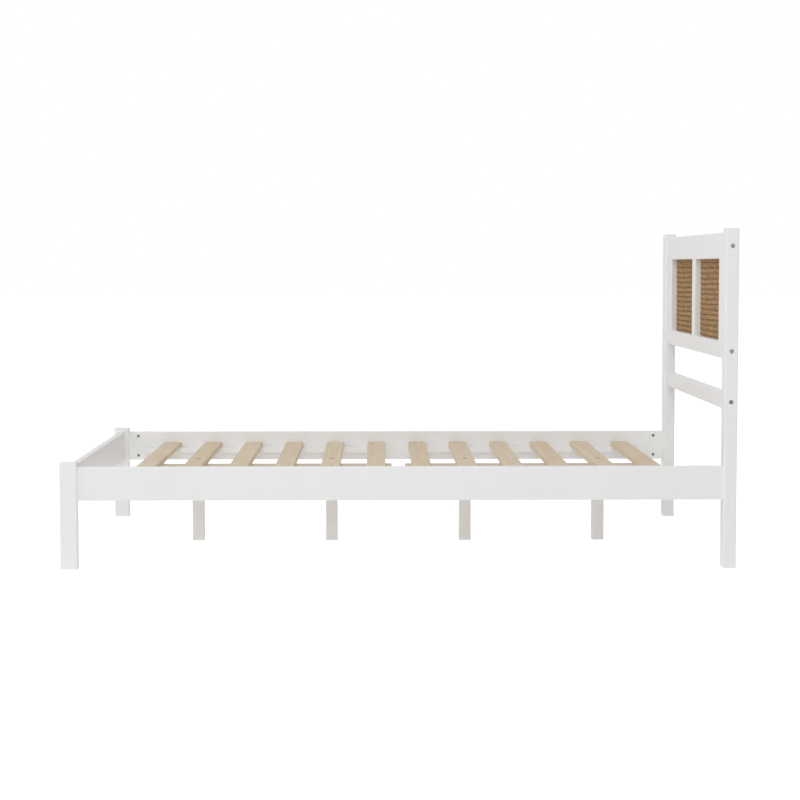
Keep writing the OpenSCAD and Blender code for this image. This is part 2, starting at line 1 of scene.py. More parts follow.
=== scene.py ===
# %% [markdown]
# # A slatted bed frame with rope panels in its headboard
#
# The bed is a knock-down frame of white-painted timber. Twelve bare pine slats lie across it, and two
# panels of wound rope fill the headboard. The timber, bolts and dowels arrive as finished solids, in
# metres, with +X towards the head end, +Y towards the far side and +Z up. This script gives every one of
# them its finish, lays the twisted cords of the rope panels, and sets up the studio.

# %% Load the frame
import math
import random

import bmesh
import bpy
from mathutils import Euler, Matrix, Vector


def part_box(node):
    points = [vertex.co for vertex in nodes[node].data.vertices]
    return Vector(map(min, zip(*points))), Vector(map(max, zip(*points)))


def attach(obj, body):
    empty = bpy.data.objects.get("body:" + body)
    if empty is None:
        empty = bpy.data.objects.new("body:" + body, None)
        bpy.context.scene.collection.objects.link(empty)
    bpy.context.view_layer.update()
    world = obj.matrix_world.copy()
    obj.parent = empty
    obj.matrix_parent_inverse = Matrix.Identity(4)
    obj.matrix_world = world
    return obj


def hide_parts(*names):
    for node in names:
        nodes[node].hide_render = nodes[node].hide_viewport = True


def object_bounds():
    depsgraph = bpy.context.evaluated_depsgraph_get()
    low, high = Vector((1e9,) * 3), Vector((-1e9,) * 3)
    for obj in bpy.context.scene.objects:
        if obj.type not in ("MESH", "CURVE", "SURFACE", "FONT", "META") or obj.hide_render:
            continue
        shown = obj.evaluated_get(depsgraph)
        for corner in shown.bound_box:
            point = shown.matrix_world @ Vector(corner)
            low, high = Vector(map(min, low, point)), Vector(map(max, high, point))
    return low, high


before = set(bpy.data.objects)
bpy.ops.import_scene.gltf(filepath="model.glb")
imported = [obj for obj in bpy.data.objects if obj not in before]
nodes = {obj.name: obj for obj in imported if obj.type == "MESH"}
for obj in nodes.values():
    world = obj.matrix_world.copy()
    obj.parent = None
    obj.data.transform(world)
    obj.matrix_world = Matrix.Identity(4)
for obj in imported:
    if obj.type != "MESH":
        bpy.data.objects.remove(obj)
cad_low, cad_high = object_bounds()
print("bed", [round(high - low, 3) for low, high in zip(cad_low, cad_high)], "m,", len(nodes), "nodes")

# %% [markdown]
# ## Camera
#
# The bed was photographed square on from one long side, from a little over the height of the headboard,
# with a long lens. A camera can be aimed with a Track To constraint, but a plain place and three angles
# keep the horizon exactly where it was. A long lens from six metres keeps the near and the far rail close
# in size, as they are on the photograph.

# %% Camera
CAMERA_PLACE = Vector((-0.0700, -6.4186, 0.8980))
CAMERA_YAW = math.radians(0.735)
CAMERA_PITCH = math.radians(3.919)
CAMERA_ROLL = math.radians(-0.029)
CAMERA_LENS = 88.64
CAMERA_SENSOR = 36.0


def make_camera():
    """The camera looks along +Y, turned by its yaw towards +X and tipped down by its pitch."""
    camera = bpy.data.objects.new("camera", bpy.data.cameras.new("camera"))
    bpy.context.scene.collection.objects.link(camera)
    camera.data.sensor_width = CAMERA_SENSOR
    camera.data.lens = CAMERA_LENS
    turn = Euler((0, 0, -CAMERA_YAW)).to_matrix()
    tip = Euler((math.pi / 2 - CAMERA_PITCH, 0, 0)).to_matrix()
    roll = Euler((0, 0, CAMERA_ROLL)).to_matrix()
    camera.rotation_euler = (turn @ tip @ roll).to_euler()
    camera.location = CAMERA_PLACE
    bpy.context.scene.camera = camera
    return camera


camera = make_camera()
print(camera.name, round(-CAMERA_PLACE.y, 2), "m from the middle of the bed")

# %% [markdown]
# ## Helpers for shader nodes
#
# Every finish below is a small network of nodes, and a script that adds, sets and links them one at a time
# is long and hard to read. Two helpers carry all of it: `add` makes one node and fills its inputs, where an
# input is either a plain value or another node's output, and `calc` is the same for the Math node.

# %% Node helpers
def add(tree, kind, inputs=None, **options):
    """Adds a node. An input is a value, or a socket that is linked to it."""
    made = tree.nodes.new(kind)
    for name, value in options.items():
        setattr(made, name, value)
    for name, value in (inputs or {}).items():
        if isinstance(value, bpy.types.NodeSocket):
            tree.links.new(value, made.inputs[name])
        else:
            made.inputs[name].default_value = value
    return made


def calc(tree, operation, *values):
    """The output of one Math node."""
    return add(tree, "ShaderNodeMath", dict(enumerate(values)), operation=operation).outputs[0]


def blend(tree, share, first, second):
    """A colour between two others: share 0 gives the first, and 1 the second."""
    made = add(tree, "ShaderNodeMix", data_type="RGBA")
    for index, value in ((0, share), (6, first), (7, second)):
        if isinstance(value, bpy.types.NodeSocket):
            tree.links.new(value, made.inputs[index])
        else:
            made.inputs[index].default_value = value
    return made.outputs[2]


def remap(tree, value, from_min, from_max, to_min, to_max, curve="SMOOTHSTEP"):
    """A value taken from one range to another, with soft ends."""
    inputs = {"Value": value, "From Min": from_min, "From Max": from_max}
    inputs |= {"To Min": to_min, "To Max": to_max}
    return add(tree, "ShaderNodeMapRange", inputs, interpolation_type=curve).outputs[0]


def stretched(tree, vector, factors):
    """Coordinates multiplied axis by axis, to stretch a texture along one of them."""
    inputs = {0: vector, 1: factors}
    return add(tree, "ShaderNodeVectorMath", inputs, operation="MULTIPLY").outputs[0]


def linear(red, green, blue):
    """A colour read off a screen, 0 to 255 a channel, as the light values that nodes expect."""
    def channel(value):
        share = value / 255
        return share / 12.92 if share <= 0.04045 else ((share + 0.055) / 1.055) ** 2.4
    return channel(red), channel(green), channel(blue), 1.0


# %% [markdown]
# ## Studio
#
# The photograph has a pure white surround and very even light. An even room light comes from the world.
# What the camera sees of the world can be set apart from what lights the bed with a Light Path node:
# camera, glossy and see-through rays get plain white, and all others get the room light. The floor is
# lifted to white in the same way, and it also gives off a little light of its own, as a white sweep with
# its own lamps does. Turning the lamps up until the floor burns out would work too, but it would wash out
# the paint.

# %% World and floor
ROOM_LIGHT = 0.43
FLOOR_TONE = (0.86, 0.86, 0.86, 1.0)
FLOOR_GLOW = 0.21
FLOOR_LIFT = 0.68
FLOOR_REACH = 60.0


def seen_directly(tree):
    """1 for rays that show the surroundings: camera, glossy and transmission rays."""
    path = add(tree, "ShaderNodeLightPath")
    shiny = calc(tree, "MAXIMUM", path.outputs["Is Glossy Ray"], path.outputs["Is Transmission Ray"])
    return calc(tree, "MAXIMUM", path.outputs["Is Camera Ray"], shiny)


def make_world():
    """Even room light, and plain white where the camera looks past the bed."""
    world = bpy.data.worlds.new("studio")
    world.use_nodes = True
    tree = world.node_tree
    tree.nodes.clear()
    room = add(tree, "ShaderNodeBackground", {"Color": (1, 1, 1, 1), "Strength": ROOM_LIGHT})
    white = add(tree, "ShaderNodeBackground", {"Color": (1, 1, 1, 1), "Strength": 1.0})
    mixed = add(tree, "ShaderNodeMixShader",
                {0: seen_directly(tree), 1: room.outputs[0], 2: white.outputs[0]})
    add(tree, "ShaderNodeOutputWorld", {"Surface": mixed.outputs[0]})
    bpy.context.scene.world = world


def make_floor():
    """A pale floor that takes the shadow and glows a little. Seen directly, its open part is white."""
    bm = bmesh.new()
    bmesh.ops.create_grid(bm, x_segments=1, y_segments=1, size=FLOOR_REACH)
    mesh = bpy.data.meshes.new("floor")
    bm.to_mesh(mesh)
    bm.free()
    floor = bpy.data.objects.new("floor", mesh)
    bpy.context.scene.collection.objects.link(floor)
    material = bpy.data.materials.new("pale_floor")
    material.use_nodes = True
    tree = material.node_tree
    tree.nodes.clear()
    matt = add(tree, "ShaderNodeBsdfDiffuse", {"Color": FLOOR_TONE})
    strength = calc(tree, "MULTIPLY_ADD", seen_directly(tree), FLOOR_LIFT - FLOOR_GLOW, FLOOR_GLOW)
    lift = add(tree, "ShaderNodeEmission", {"Color": (1, 1, 1, 1), "Strength": strength})
    both = add(tree, "ShaderNodeAddShader", {0: matt.outputs[0], 1: lift.outputs[0]})
    add(tree, "ShaderNodeOutputMaterial", {"Surface": both.outputs[0]})
    mesh.materials.append(material)


make_world()
make_floor()
bpy.context.scene.view_settings.view_transform = "Standard"

# %% [markdown]
# ## Lamps
#
# Three large soft lamps shape the bed: one in front, above the camera, one at the foot end, and the
# strongest overhead. A lamp's power says little by itself, because its effect falls with distance, so each
# lamp is given as a level: the brightness of a white card that faces it from the middle of the bed. An area
# lamp gives that card P / (pi^2 d^2), and the power follows from it.

# %% Lamps
BED_MIDDLE = Vector((0.0, 0.0, 0.45))
LAMP_SIDE = 3.0
LAMPS = {
    "front_lamp": (Vector((-0.5, -7.0, 3.0)), 0.16),
    "side_lamp": (Vector((-6.5, -1.5, 2.4)), 0.19),
    "top_lamp": (Vector((-0.8, -1.8, 5.5)), 0.25),
}


def make_lamp(name, place, level):
    """A square area lamp aimed at the middle of the bed."""
    aim = BED_MIDDLE - place
    lamp = bpy.data.objects.new(name, bpy.data.lights.new(name, "AREA"))
    bpy.context.scene.collection.objects.link(lamp)
    lamp.data.size = LAMP_SIDE
    lamp.data.energy = level * math.pi ** 2 * aim.length_squared
    lamp.location = place
    lamp.rotation_euler = aim.to_track_quat("-Z", "Y").to_euler()
    print(name, round(lamp.data.energy), "W")


for name, (place, level) in LAMPS.items():
    make_lamp(name, place, level)

# %% [markdown]
# ## Wood grain as a node group
#
# Both the bare pine and the paint over it show the same thing: the tree's growth rings, cut through along
# the board. A Wave texture gives stripes, but real rings are shells round the pith. So the group measures
# the distance from an axis, the pith, lets it wander a little along the board, and cuts it into rings that
# darken slowly and end sharply, as late wood does. Knots come from a Voronoi texture: a few of its cells
# get one, and the rings bulge round it. The group expects X to run along the board. What varies over the
# surface leaves the group; the shader stays in each material. A value named per metre says how many waves
# or cells of a texture go into a metre along each axis.

# %% Grain group
RING_PITCH = 0.0032
LATE_WOOD_POWER = 2.4
WANDERS_PER_METRE = (1.6, 5, 5)
PITH_WANDER = (0, 0.012, 0.012)
KNOTS_PER_METRE = Vector((5.0, 9.0, 0.0))
KNOT_SIZES = (0.022, 0.045)
KNOT_RINGS = 3.0
KNOT_BULGE = 0.004
FIBRES_PER_METRE = (18, 1100, 1100)
TONES_PER_METRE = (4, 34, 34)


def new_group(name, inputs, outputs):
    """An empty shader group with named sockets, and its two end nodes."""
    group = bpy.data.node_groups.new(name, "ShaderNodeTree")
    for label, kind in inputs.items():
        group.interface.new_socket(label, in_out="INPUT", socket_type="NodeSocket" + kind)
    for label, kind in outputs.items():
        group.interface.new_socket(label, in_out="OUTPUT", socket_type="NodeSocket" + kind)
    return group, group.nodes.new("NodeGroupInput").outputs, group.nodes.new("NodeGroupOutput").inputs


def make_board_grain():
    """Rings, fibres and knots of a board, each as a mask or a value."""
    tree, given, out = new_group("board_grain", {"Vector": "Vector", "Knot Share": "Float"},
                                 {"Rings": "Float", "Fibre": "Float", "Knot": "Float", "Halo": "Float",
                                  "Tone": "Float"})
    place = given["Vector"]

    # The pith wanders by a few millimetres as it runs along the board.
    sway = add(tree, "ShaderNodeTexNoise", {"Vector": stretched(tree, place, WANDERS_PER_METRE),
                                            "Scale": 1.0})
    centred = add(tree, "ShaderNodeVectorMath", {0: sway.outputs["Color"], 1: (0.5, 0.5, 0.5)},
                  operation="SUBTRACT").outputs[0]
    shift = stretched(tree, centred, PITH_WANDER)
    swayed = add(tree, "ShaderNodeVectorMath", {0: place, 1: shift}, operation="ADD").outputs[0]
    radial = stretched(tree, swayed, (0, 1, 1))
    radius = add(tree, "ShaderNodeVectorMath", {0: radial}, operation="LENGTH").outputs["Value"]

    # A knot in some of the cells, 4 to 9 mm in radius along the board and about half of that across it.
    cells = add(tree, "ShaderNodeTexVoronoi", {"Vector": stretched(tree, place, KNOTS_PER_METRE),
                                               "Scale": 1.0, "Randomness": 0.85},
                voronoi_dimensions="2D")
    dice = add(tree, "ShaderNodeSeparateColor", {0: cells.outputs["Color"]}).outputs
    there = calc(tree, "LESS_THAN", dice[0], given["Knot Share"])
    size = remap(tree, dice[1], 0, 1, *KNOT_SIZES, "LINEAR")
    ratio = calc(tree, "DIVIDE", cells.outputs["Distance"], size)
    knot = calc(tree, "MULTIPLY", there, remap(tree, ratio, 1.05, 0.85, 0, 1))
    halo = calc(tree, "MULTIPLY", there, remap(tree, ratio, 4.5, 0.6, 0, 1))

    # Rings: slow to darken, quick to end. Inside a knot they run round its middle.
    bulged = calc(tree, "MULTIPLY_ADD", halo, KNOT_BULGE, radius)
    phase = calc(tree, "FRACT", calc(tree, "DIVIDE", bulged, RING_PITCH))
    darkened = calc(tree, "POWER", phase, LATE_WOOD_POWER)
    late = calc(tree, "MULTIPLY", darkened, remap(tree, phase, 1.0, 0.9, 0, 1))
    inner = calc(tree, "FRACT", calc(tree, "MULTIPLY", ratio, KNOT_RINGS))
    rings = calc(tree, "ADD", calc(tree, "MULTIPLY", late, calc(tree, "SUBTRACT", 1.0, knot)),
                 calc(tree, "MULTIPLY", inner, knot))

    # Fibres are fine streaks. The tone changes over 3 cm across the board and 25 cm along it.
    streaks = add(tree, "ShaderNodeTexNoise", {"Vector": stretched(tree, place, FIBRES_PER_METRE),
                                               "Scale": 1.0, "Detail": 3.0})
    clouds = add(tree, "ShaderNodeTexNoise", {"Vector": stretched(tree, place, TONES_PER_METRE),
                                              "Scale": 1.0})
    values = {"Rings": rings, "Fibre": streaks.outputs["Fac"], "Knot": knot, "Halo": halo,
              "Tone": clouds.outputs["Fac"]}
    for label, socket in values.items():
        tree.links.new(socket, out[label])
    return tree


board_grain = make_board_grain()
print("group", board_grain.name, "with", len(board_grain.nodes), "nodes")

# %% [markdown]
# ## Edges and fine texture as groups
#
# A coat of paint or powder pulls back from a sharp edge as it dries, and hands wear it there first. The
# Pointiness of the Geometry node finds edges from the mesh's own vertices, which are too few on a plain
# board. The Bevel node asks the surface around each point instead, so it works on any mesh: where its
# softened normal turns away from the true one, there is an edge. The second group is the fine texture that
# a roller or a spray gun leaves.

# %% Edge and texture groups
EDGE_FACING = (0.995, 0.90)
CHIPS_PER_METRE = 90.0
SMUDGES_PER_METRE = 7.0


def make_edge_wear():
    """1 where a sharp edge is worn, in chips, and 0 on the open face."""
    tree, given, out = new_group("edge_wear", {"Vector": "Vector", "Reach": "Float"}, {"Edge": "Float"})
    soft = add(tree, "ShaderNodeBevel", {"Radius": given["Reach"]}, samples=4)
    flat = add(tree, "ShaderNodeNewGeometry").outputs["Normal"]
    facing = add(tree, "ShaderNodeVectorMath", {0: soft.outputs[0], 1: flat}, operation="DOT_PRODUCT")
    edge = remap(tree, facing.outputs["Value"], *EDGE_FACING, 0, 1)
    chips = add(tree, "ShaderNodeTexNoise", {"Vector": given["Vector"], "Scale": CHIPS_PER_METRE,
                                             "Detail": 4.0})
    worn = calc(tree, "MULTIPLY", edge, remap(tree, chips.outputs["Fac"], 0.35, 0.65, 0.25, 1))
    tree.links.new(worn, out["Edge"])
    return tree


def make_fine_texture():
    """The grit of a coat as a height, and its broad smudges."""
    tree, given, out = new_group("fine_texture", {"Vector": "Vector", "Scale": "Float"},
                                 {"Height": "Float", "Smudge": "Float"})
    grit = add(tree, "ShaderNodeTexNoise", {"Vector": given["Vector"], "Scale": given["Scale"],
                                            "Detail": 2.0})
    smudge = add(tree, "ShaderNodeTexNoise", {"Vector": given["Vector"], "Scale": SMUDGES_PER_METRE,
                                              "Detail": 5.0})
    tree.links.new(grit.outputs["Fac"], out["Height"])
    tree.links.new(smudge.outputs["Fac"], out["Smudge"])
    return tree


edge_wear = make_edge_wear()
fine_texture = make_fine_texture()

# %% [markdown]
# ## White paint
#
# The frame is pine under a satin white paint. On the photograph the paint is nearly flat, with faint
# lines of grain along each board and a slightly warmer tone at the arrises. A plain white Principled shader
# would look like plastic from near by. Here the wood group telegraphs through the coat as a very small
# bump and a two per cent change of tone. The grain has to run along each board, so there are three paints,
# one for each direction, and they differ only in how a Mapping node turns the coordinates.

# %% Paint
GRAIN_TURN = {"x": (0, 0, 0), "y": (0, 0, -math.pi / 2), "z": (0, math.pi / 2, 0)}
PAINT = linear(240, 240, 240)
PAINT_OVER_RING = linear(235, 235, 234)
PAINT_THIN = linear(228, 225, 218)
PITH_OFFSET = Vector((0.0, 0.21, 0.15))
PAINT_KNOT_SHARE = 0.08
PAINT_GRIT = 700.0
PAINT_EDGE = 0.0022
PAINT_RING_DEPTH = 0.00010
PAINT_FIBRE_DEPTH = 0.00004
PAINT_GRIT_DEPTH = 0.00005


def new_material(name):
    """A material with an empty tree, and its Principled shader linked to the output."""
    material = bpy.data.materials.new(name)
    material.use_nodes = True
    tree = material.node_tree
    tree.nodes.clear()
    shader = add(tree, "ShaderNodeBsdfPrincipled")
    add(tree, "ShaderNodeOutputMaterial", {"Surface": shader.outputs[0]})
    return material, tree, shader


def board_vector(tree, axis, offset):
    """Object coordinates, turned so that X runs along the board."""
    place = add(tree, "ShaderNodeTexCoord").outputs["Object"]
    inputs = {"Vector": place, "Location": offset, "Rotation": GRAIN_TURN[axis]}
    return place, add(tree, "ShaderNodeMapping", inputs).outputs[0]


def use_group(tree, group, **inputs):
    """A shared group in a material, with its values filled in."""
    made = add(tree, "ShaderNodeGroup", node_tree=group)
    for label, value in inputs.items():
        socket = made.inputs[label.replace("_", " ")]
        if isinstance(value, bpy.types.NodeSocket):
            tree.links.new(value, socket)
        else:
            socket.default_value = value
    return made.outputs


def bumps(tree, shader, *heights):
    """Stacks (height socket, depth in metres) pairs as Bump nodes on the shader's normal."""
    normal = None
    for height, depth in heights:
        inputs = {"Height": height, "Distance": depth, "Strength": 1.0}
        if normal is not None:
            inputs["Normal"] = normal
        normal = add(tree, "ShaderNodeBump", inputs).outputs[0]
    tree.links.new(normal, shader.inputs["Normal"])


def make_paint(axis):
    """White paint over boards whose grain runs along that axis."""
    material, tree, shader = new_material("white_paint_" + axis)
    place, along = board_vector(tree, axis, PITH_OFFSET)
    grain = use_group(tree, board_grain, Vector=along, Knot_Share=PAINT_KNOT_SHARE)
    coat = use_group(tree, fine_texture, Vector=place, Scale=PAINT_GRIT)
    edge = use_group(tree, edge_wear, Vector=place, Reach=PAINT_EDGE)["Edge"]

    raised = calc(tree, "MAXIMUM", grain["Rings"], calc(tree, "MULTIPLY", grain["Knot"], 0.8))
    tone = blend(tree, calc(tree, "MULTIPLY", raised, 0.8), PAINT, PAINT_OVER_RING)
    tone = blend(tree, remap(tree, coat["Smudge"], 0.45, 0.8, 0, 0.5), tone, PAINT_OVER_RING)
    tone = blend(tree, calc(tree, "MULTIPLY", edge, 0.55), tone, PAINT_THIN)
    tree.links.new(tone, shader.inputs["Base Color"])
    rough = calc(tree, "MULTIPLY_ADD", grain["Fibre"], 0.10, 0.42)
    tree.links.new(rough, shader.inputs["Roughness"])
    bumps(tree, shader, (raised, PAINT_RING_DEPTH), (grain["Fibre"], PAINT_FIBRE_DEPTH),
          (coat["Height"], PAINT_GRIT_DEPTH))
    return material


paints = {axis: make_paint(axis) for axis in GRAIN_TURN}
print("paints", sorted(paints))

# %% [markdown]
# ## Bare pine
#
# The slats and the centre beams are bare, planed pine: pale and straw-coloured, with soft growth rings and
# a knot here and there. Each board came from another part of a tree, so each has a material of its own: a
# Mapping node moves its centre to another distance from the pith, and the rings then cross its face as
# straight lines or as arches. The pattern fills the solid, so the end grain shows the same rings as arcs.
# End grain drinks more of everything, so it is darker and rougher. The beams are of a greyer wood than the
# slats, so there are two sets of tones, each with early wood, warmer early wood and late wood.

# %% Pine
PINE_TONES = linear(224, 208, 184), linear(211, 188, 156), linear(194, 167, 131)
BEAM_TONES = linear(216, 206, 191), linear(203, 190, 171), linear(186, 170, 146)
KNOT_CORE = linear(122, 84, 50)
END_GRAIN = linear(178, 148, 108)
ALONG = {"x": (1, 0, 0), "y": (0, 1, 0), "z": (0, 0, 1)}
PITH_ALONG = 9
PITH_ASIDE = 0.045
PITH_BELOW = (0.03, 0.10)
WARMTH_FROM = 0.35
WARMTH_RANGE = 0.45
PINE_KNOT_SHARE = 0.05
PINE_EDGE = 0.0015
PINE_RING_DEPTH = 0.00012
PINE_FIBRE_DEPTH = 0.00010


def end_mask(tree, axis):
    """1 on the two cut ends of a board, 0 on its long faces."""
    normal = add(tree, "ShaderNodeTexCoord").outputs["Normal"]
    along = add(tree, "ShaderNodeVectorMath", {0: normal, 1: ALONG[axis]}, operation="DOT_PRODUCT")
    return remap(tree, calc(tree, "ABSOLUTE", along.outputs["Value"]), 0.8, 0.95, 0, 1)


def make_pine(name, axis, seed):
    """Pine for the node of that name, with its own place in the tree."""
    dice = random.Random(seed)
    early_wood, warm_wood, late_wood = BEAM_TONES if name.startswith("centre_beam") else PINE_TONES
    low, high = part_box(name)
    turn = Euler(GRAIN_TURN[axis]).to_matrix()
    pith = Vector((dice.uniform(-PITH_ALONG, PITH_ALONG), dice.uniform(-PITH_ASIDE, PITH_ASIDE),
                   -dice.uniform(*PITH_BELOW)))
    material, tree, shader = new_material("pine_" + name)
    place, along = board_vector(tree, axis, pith - turn @ ((low + high) / 2))
    grain = use_group(tree, board_grain, Vector=along, Knot_Share=PINE_KNOT_SHARE)
    edge = use_group(tree, edge_wear, Vector=place, Reach=PINE_EDGE)["Edge"]

    warmth = dice.uniform(0.0, WARMTH_FROM)
    warmed = remap(tree, grain["Tone"], 0.3, 0.75, warmth, warmth + WARMTH_RANGE)
    early = blend(tree, warmed, early_wood, warm_wood)
    tone = blend(tree, calc(tree, "MULTIPLY", grain["Rings"], 0.48), early, late_wood)
    tone = blend(tree, remap(tree, grain["Fibre"], 0.45, 0.75, 0, 0.28), tone, late_wood)
    tone = blend(tree, calc(tree, "MULTIPLY", grain["Halo"], 0.45), tone, late_wood)
    tone = blend(tree, calc(tree, "MULTIPLY", grain["Knot"], 0.85), tone, KNOT_CORE)
    tone = blend(tree, calc(tree, "MULTIPLY", edge, 0.25), tone, late_wood)
    ends = end_mask(tree, axis)
    tone = blend(tree, calc(tree, "MULTIPLY", ends, 0.55), tone, END_GRAIN)
    tree.links.new(tone, shader.inputs["Base Color"])
    rough = calc(tree, "MULTIPLY_ADD", grain["Fibre"], 0.16, 0.52)
    rough = calc(tree, "MULTIPLY_ADD", ends, 0.2, rough)
    tree.links.new(rough, shader.inputs["Roughness"])
    bumps(tree, shader, (grain["Rings"], PINE_RING_DEPTH), (grain["Fibre"], PINE_FIBRE_DEPTH))
    return material


# %% [markdown]
# ## Metals
#
# Three finishes of steel hold the bed together. The bolts and barrel nuts are zinc plated, bright but
# cloudy. The rope frames and the bolts through the slats have a dark powder coat, which has a fine
# grit and shows bright metal at its edges. The ledger screws were painted with the frame. All of them vary
# in roughness, because a metal with one even roughness looks like a mirror or like grey plastic.

# %% Metals
ZINC_LIGHT = linear(140, 141, 143)
ZINC_DARK = linear(106, 107, 108)
POWDER = linear(44, 35, 28)
POWDER_DUST = linear(66, 55, 45)
BARE_STEEL = linear(150, 148, 145)
ENAMEL = linear(232, 231, 227)
ENAMEL_DUST = linear(214, 210, 202)
PLATE_GRIT = 1400.0
PLATE_GRIT_DEPTH = 0.00003
SPANGLES_PER_METRE = 420.0
COAT_GRIT = 1100.0
COAT_EDGE = 0.0008


def make_zinc():
    """Zinc plate: clouded, and rough by its spangle."""
    material, tree, shader = new_material("zinc_plate")
    place = add(tree, "ShaderNodeTexCoord").outputs["Object"]
    film = use_group(tree, fine_texture, Vector=place, Scale=PLATE_GRIT)
    spangle = add(tree, "ShaderNodeTexVoronoi", {"Vector": place, "Scale": SPANGLES_PER_METRE})
    cloud = remap(tree, film["Smudge"], 0.35, 0.7, 0, 1)
    tree.links.new(blend(tree, cloud, ZINC_LIGHT, ZINC_DARK), shader.inputs["Base Color"])
    rough = calc(tree, "MULTIPLY_ADD", spangle.outputs["Distance"], 0.25, 0.28)
    tree.links.new(rough, shader.inputs["Roughness"])
    shader.inputs["Metallic"].default_value = 1.0
    bumps(tree, shader, (film["Height"], PLATE_GRIT_DEPTH))
    return material


def make_coated_steel(name, coat, dust, worn, rough, depth):
    """Steel under a coat: dusty on its faces and rubbed at its edges. The depth is that of its grit."""
    material, tree, shader = new_material(name)
    place = add(tree, "ShaderNodeTexCoord").outputs["Object"]
    film = use_group(tree, fine_texture, Vector=place, Scale=COAT_GRIT)
    edge = use_group(tree, edge_wear, Vector=place, Reach=COAT_EDGE)["Edge"]
    rubbed = calc(tree, "MULTIPLY", edge, worn)
    tone = blend(tree, remap(tree, film["Smudge"], 0.4, 0.75, 0, 0.7), coat, dust)
    tree.links.new(blend(tree, rubbed, tone, BARE_STEEL), shader.inputs["Base Color"])
    tree.links.new(calc(tree, "MULTIPLY_ADD", film["Height"], 0.15, rough), shader.inputs["Roughness"])
    tree.links.new(rubbed, shader.inputs["Metallic"])
    bumps(tree, shader, (film["Height"], depth))
    return material


zinc = make_zinc()
powder = make_coated_steel("dark_powder_coat", POWDER, POWDER_DUST, worn=0.45, rough=0.58, depth=0.00008)
enamel = make_coated_steel("painted_screw", ENAMEL, ENAMEL_DUST, worn=0.10, rough=0.32, depth=0.00002)

# %% [markdown]
# ## Which piece gets which finish
#
# A board's grain runs along its length, so each painted piece is listed under the direction it runs in.
# The frame's own pieces keep their shape, and only the material in their first slot changes.

# %% Finish the frame's pieces
PINE_SEED = 40
PAINTED = {
    "x": ["side_rail_near", "side_rail_far", "ledger_near_foot", "ledger_near_head", "ledger_far_foot",
          "ledger_far_head"],
    "y": ["foot_rail", "top_rail", "panel_rail", "lower_rail"],
    "z": ["head_post_near", "head_post_far", "foot_post_near", "foot_post_far", "stile_near", "stile_far",
          "mullion", "support_leg_1", "support_leg_2", "support_leg_3", "support_leg_4"],
}
ZINC_PLATED = ["headboard_bolts", "headboard_nuts", "rail_bolts", "rail_nuts", "leg_inserts", "slat_screws"]
POWDER_COATED = ["rope_frame_near", "rope_frame_far", "frame_screws", "leg_bolts"]
SLATS = sorted(name for name in nodes if name.startswith("slat_") and name != "slat_screws")
BARE_BOARDS = [(name, "y") for name in SLATS]
BARE_BOARDS += [("centre_beam_foot", "x"), ("centre_beam_head", "x")]
BARE_BOARDS += [("frame_dowels", "z"), ("rail_end_dowels", "y"), ("side_rail_dowels", "x")]


def finish(name, material):
    """Gives a node of the frame its material."""
    nodes[name].material_slots[0].material = material


for axis, names in PAINTED.items():
    for name in names:
        finish(name, paints[axis])
for number, (name, axis) in enumerate(BARE_BOARDS):
    finish(name, make_pine(name, axis, PINE_SEED + number))
for name in ZINC_PLATED:
    finish(name, zinc)
for name in POWDER_COATED:
    finish(name, powder)
finish("ledger_screws", enamel)
print("finished", sum(len(names) for names in PAINTED.values()), "painted pieces and", len(BARE_BOARDS),
      "bare ones")

# %% [markdown]
# ## The rope panels: route
#
# Each panel is one rope wound fifteen times round a thin steel frame. In every row three cords
# lie side by side, and the rows drop a little as they cross the front, because the rope has to climb down
# one row in each turn. The route is worked out from the rails that the rope lies between: half a row
# across the back, round the near bar, across the front, round the far bar, and back to the middle. Rows
# that fall leave a thin wedge open under the top rail and another over the panel rail. So the first rows
# are drawn up and the last ones down, as a maker would push them by hand, and their cords swell a little
# to fill the room.

# %% Route of the rope
CORD = 0.0052
ROW_CORDS = 3
TURNS = 15
BAR = 0.0025
FRONT_FALL = 0.005
END_GAP = 0.00055
EASED_ROWS = 3
BLOCK = 0.020
STEP = 0.0022

row_width = ROW_CORDS * CORD
opening_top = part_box("top_rail")[0].z
opening_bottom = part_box("panel_rail")[1].z
row_pitch = (opening_top - opening_bottom - 2 * END_GAP - FRONT_FALL - row_width) / (TURNS - 1)
back_fall = row_pitch - FRONT_FALL
turn_radius = (BAR + CORD) / 2
rope_top = opening_top - END_GAP - row_width / 2 + back_fall / 2


def panel_frame(node):
    """Middle of a rope panel, and half the distance between its two turns."""
    low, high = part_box(node)
    middle = Vector((low.x + CORD + BAR / 2, (low.y + high.y) / 2, rope_top))
    return middle, (high.y - low.y) / 2 - CORD / 2 - turn_radius


def eased(turn, share):
    """How far a row is moved so that no wedge stays open at the two ends of the panel.

    The first rows are drawn up at the far side, where share is 1, and the last ones down at the near side.
    """
    first = max(0.0, 1 - turn / EASED_ROWS)
    last = max(0.0, 1 - (TURNS - 1 - turn) / EASED_ROWS)
    return FRONT_FALL * (first * share - last * (1 - share))


def fullness(turn, share):
    """How much thicker the cords are where eased rows lie further apart.

    That takes in the plain row beside them, since the room between it and them is just as wide.
    """
    first = share if turn <= EASED_ROWS else 0.0
    last = 1 - share if turn >= TURNS - 1 - EASED_ROWS else 0.0
    return 1 + FRONT_FALL / EASED_ROWS / row_pitch * max(first, last)


